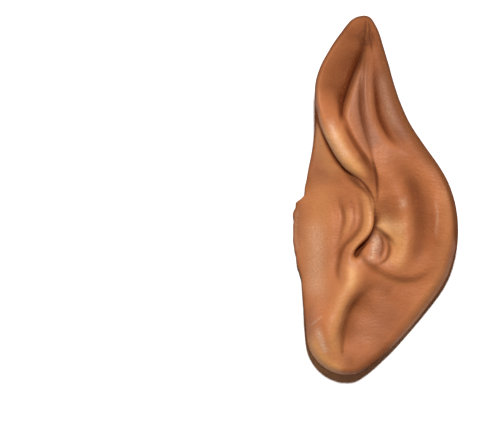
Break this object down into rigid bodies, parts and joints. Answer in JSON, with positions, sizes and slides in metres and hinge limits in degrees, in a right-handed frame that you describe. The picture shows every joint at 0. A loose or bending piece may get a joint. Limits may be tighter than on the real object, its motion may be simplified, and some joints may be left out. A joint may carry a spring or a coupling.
{
  "type": "elf ear tip",
  "caption": "Soft latex ear cover with a long pointed horn, hollow at the back, worn over a real left ear.",
  "frame": {"origin": "middle of the bounding box, on the plane the flat back rim rests on", "axes": "+X from the cheek flange to the rear rim, +Y from the lobe to the pointed tip, +Z out of the back to the face of the ear"},
  "size_m": [0.0526, 0.115, 0.0207],
  "materials": {
    "latex": "satin skin-coloured latex with a brown wash in the folds"
  },
  "bodies": {
    "root": {"latex_ear": "latex"}
  },
  "joints": []
}
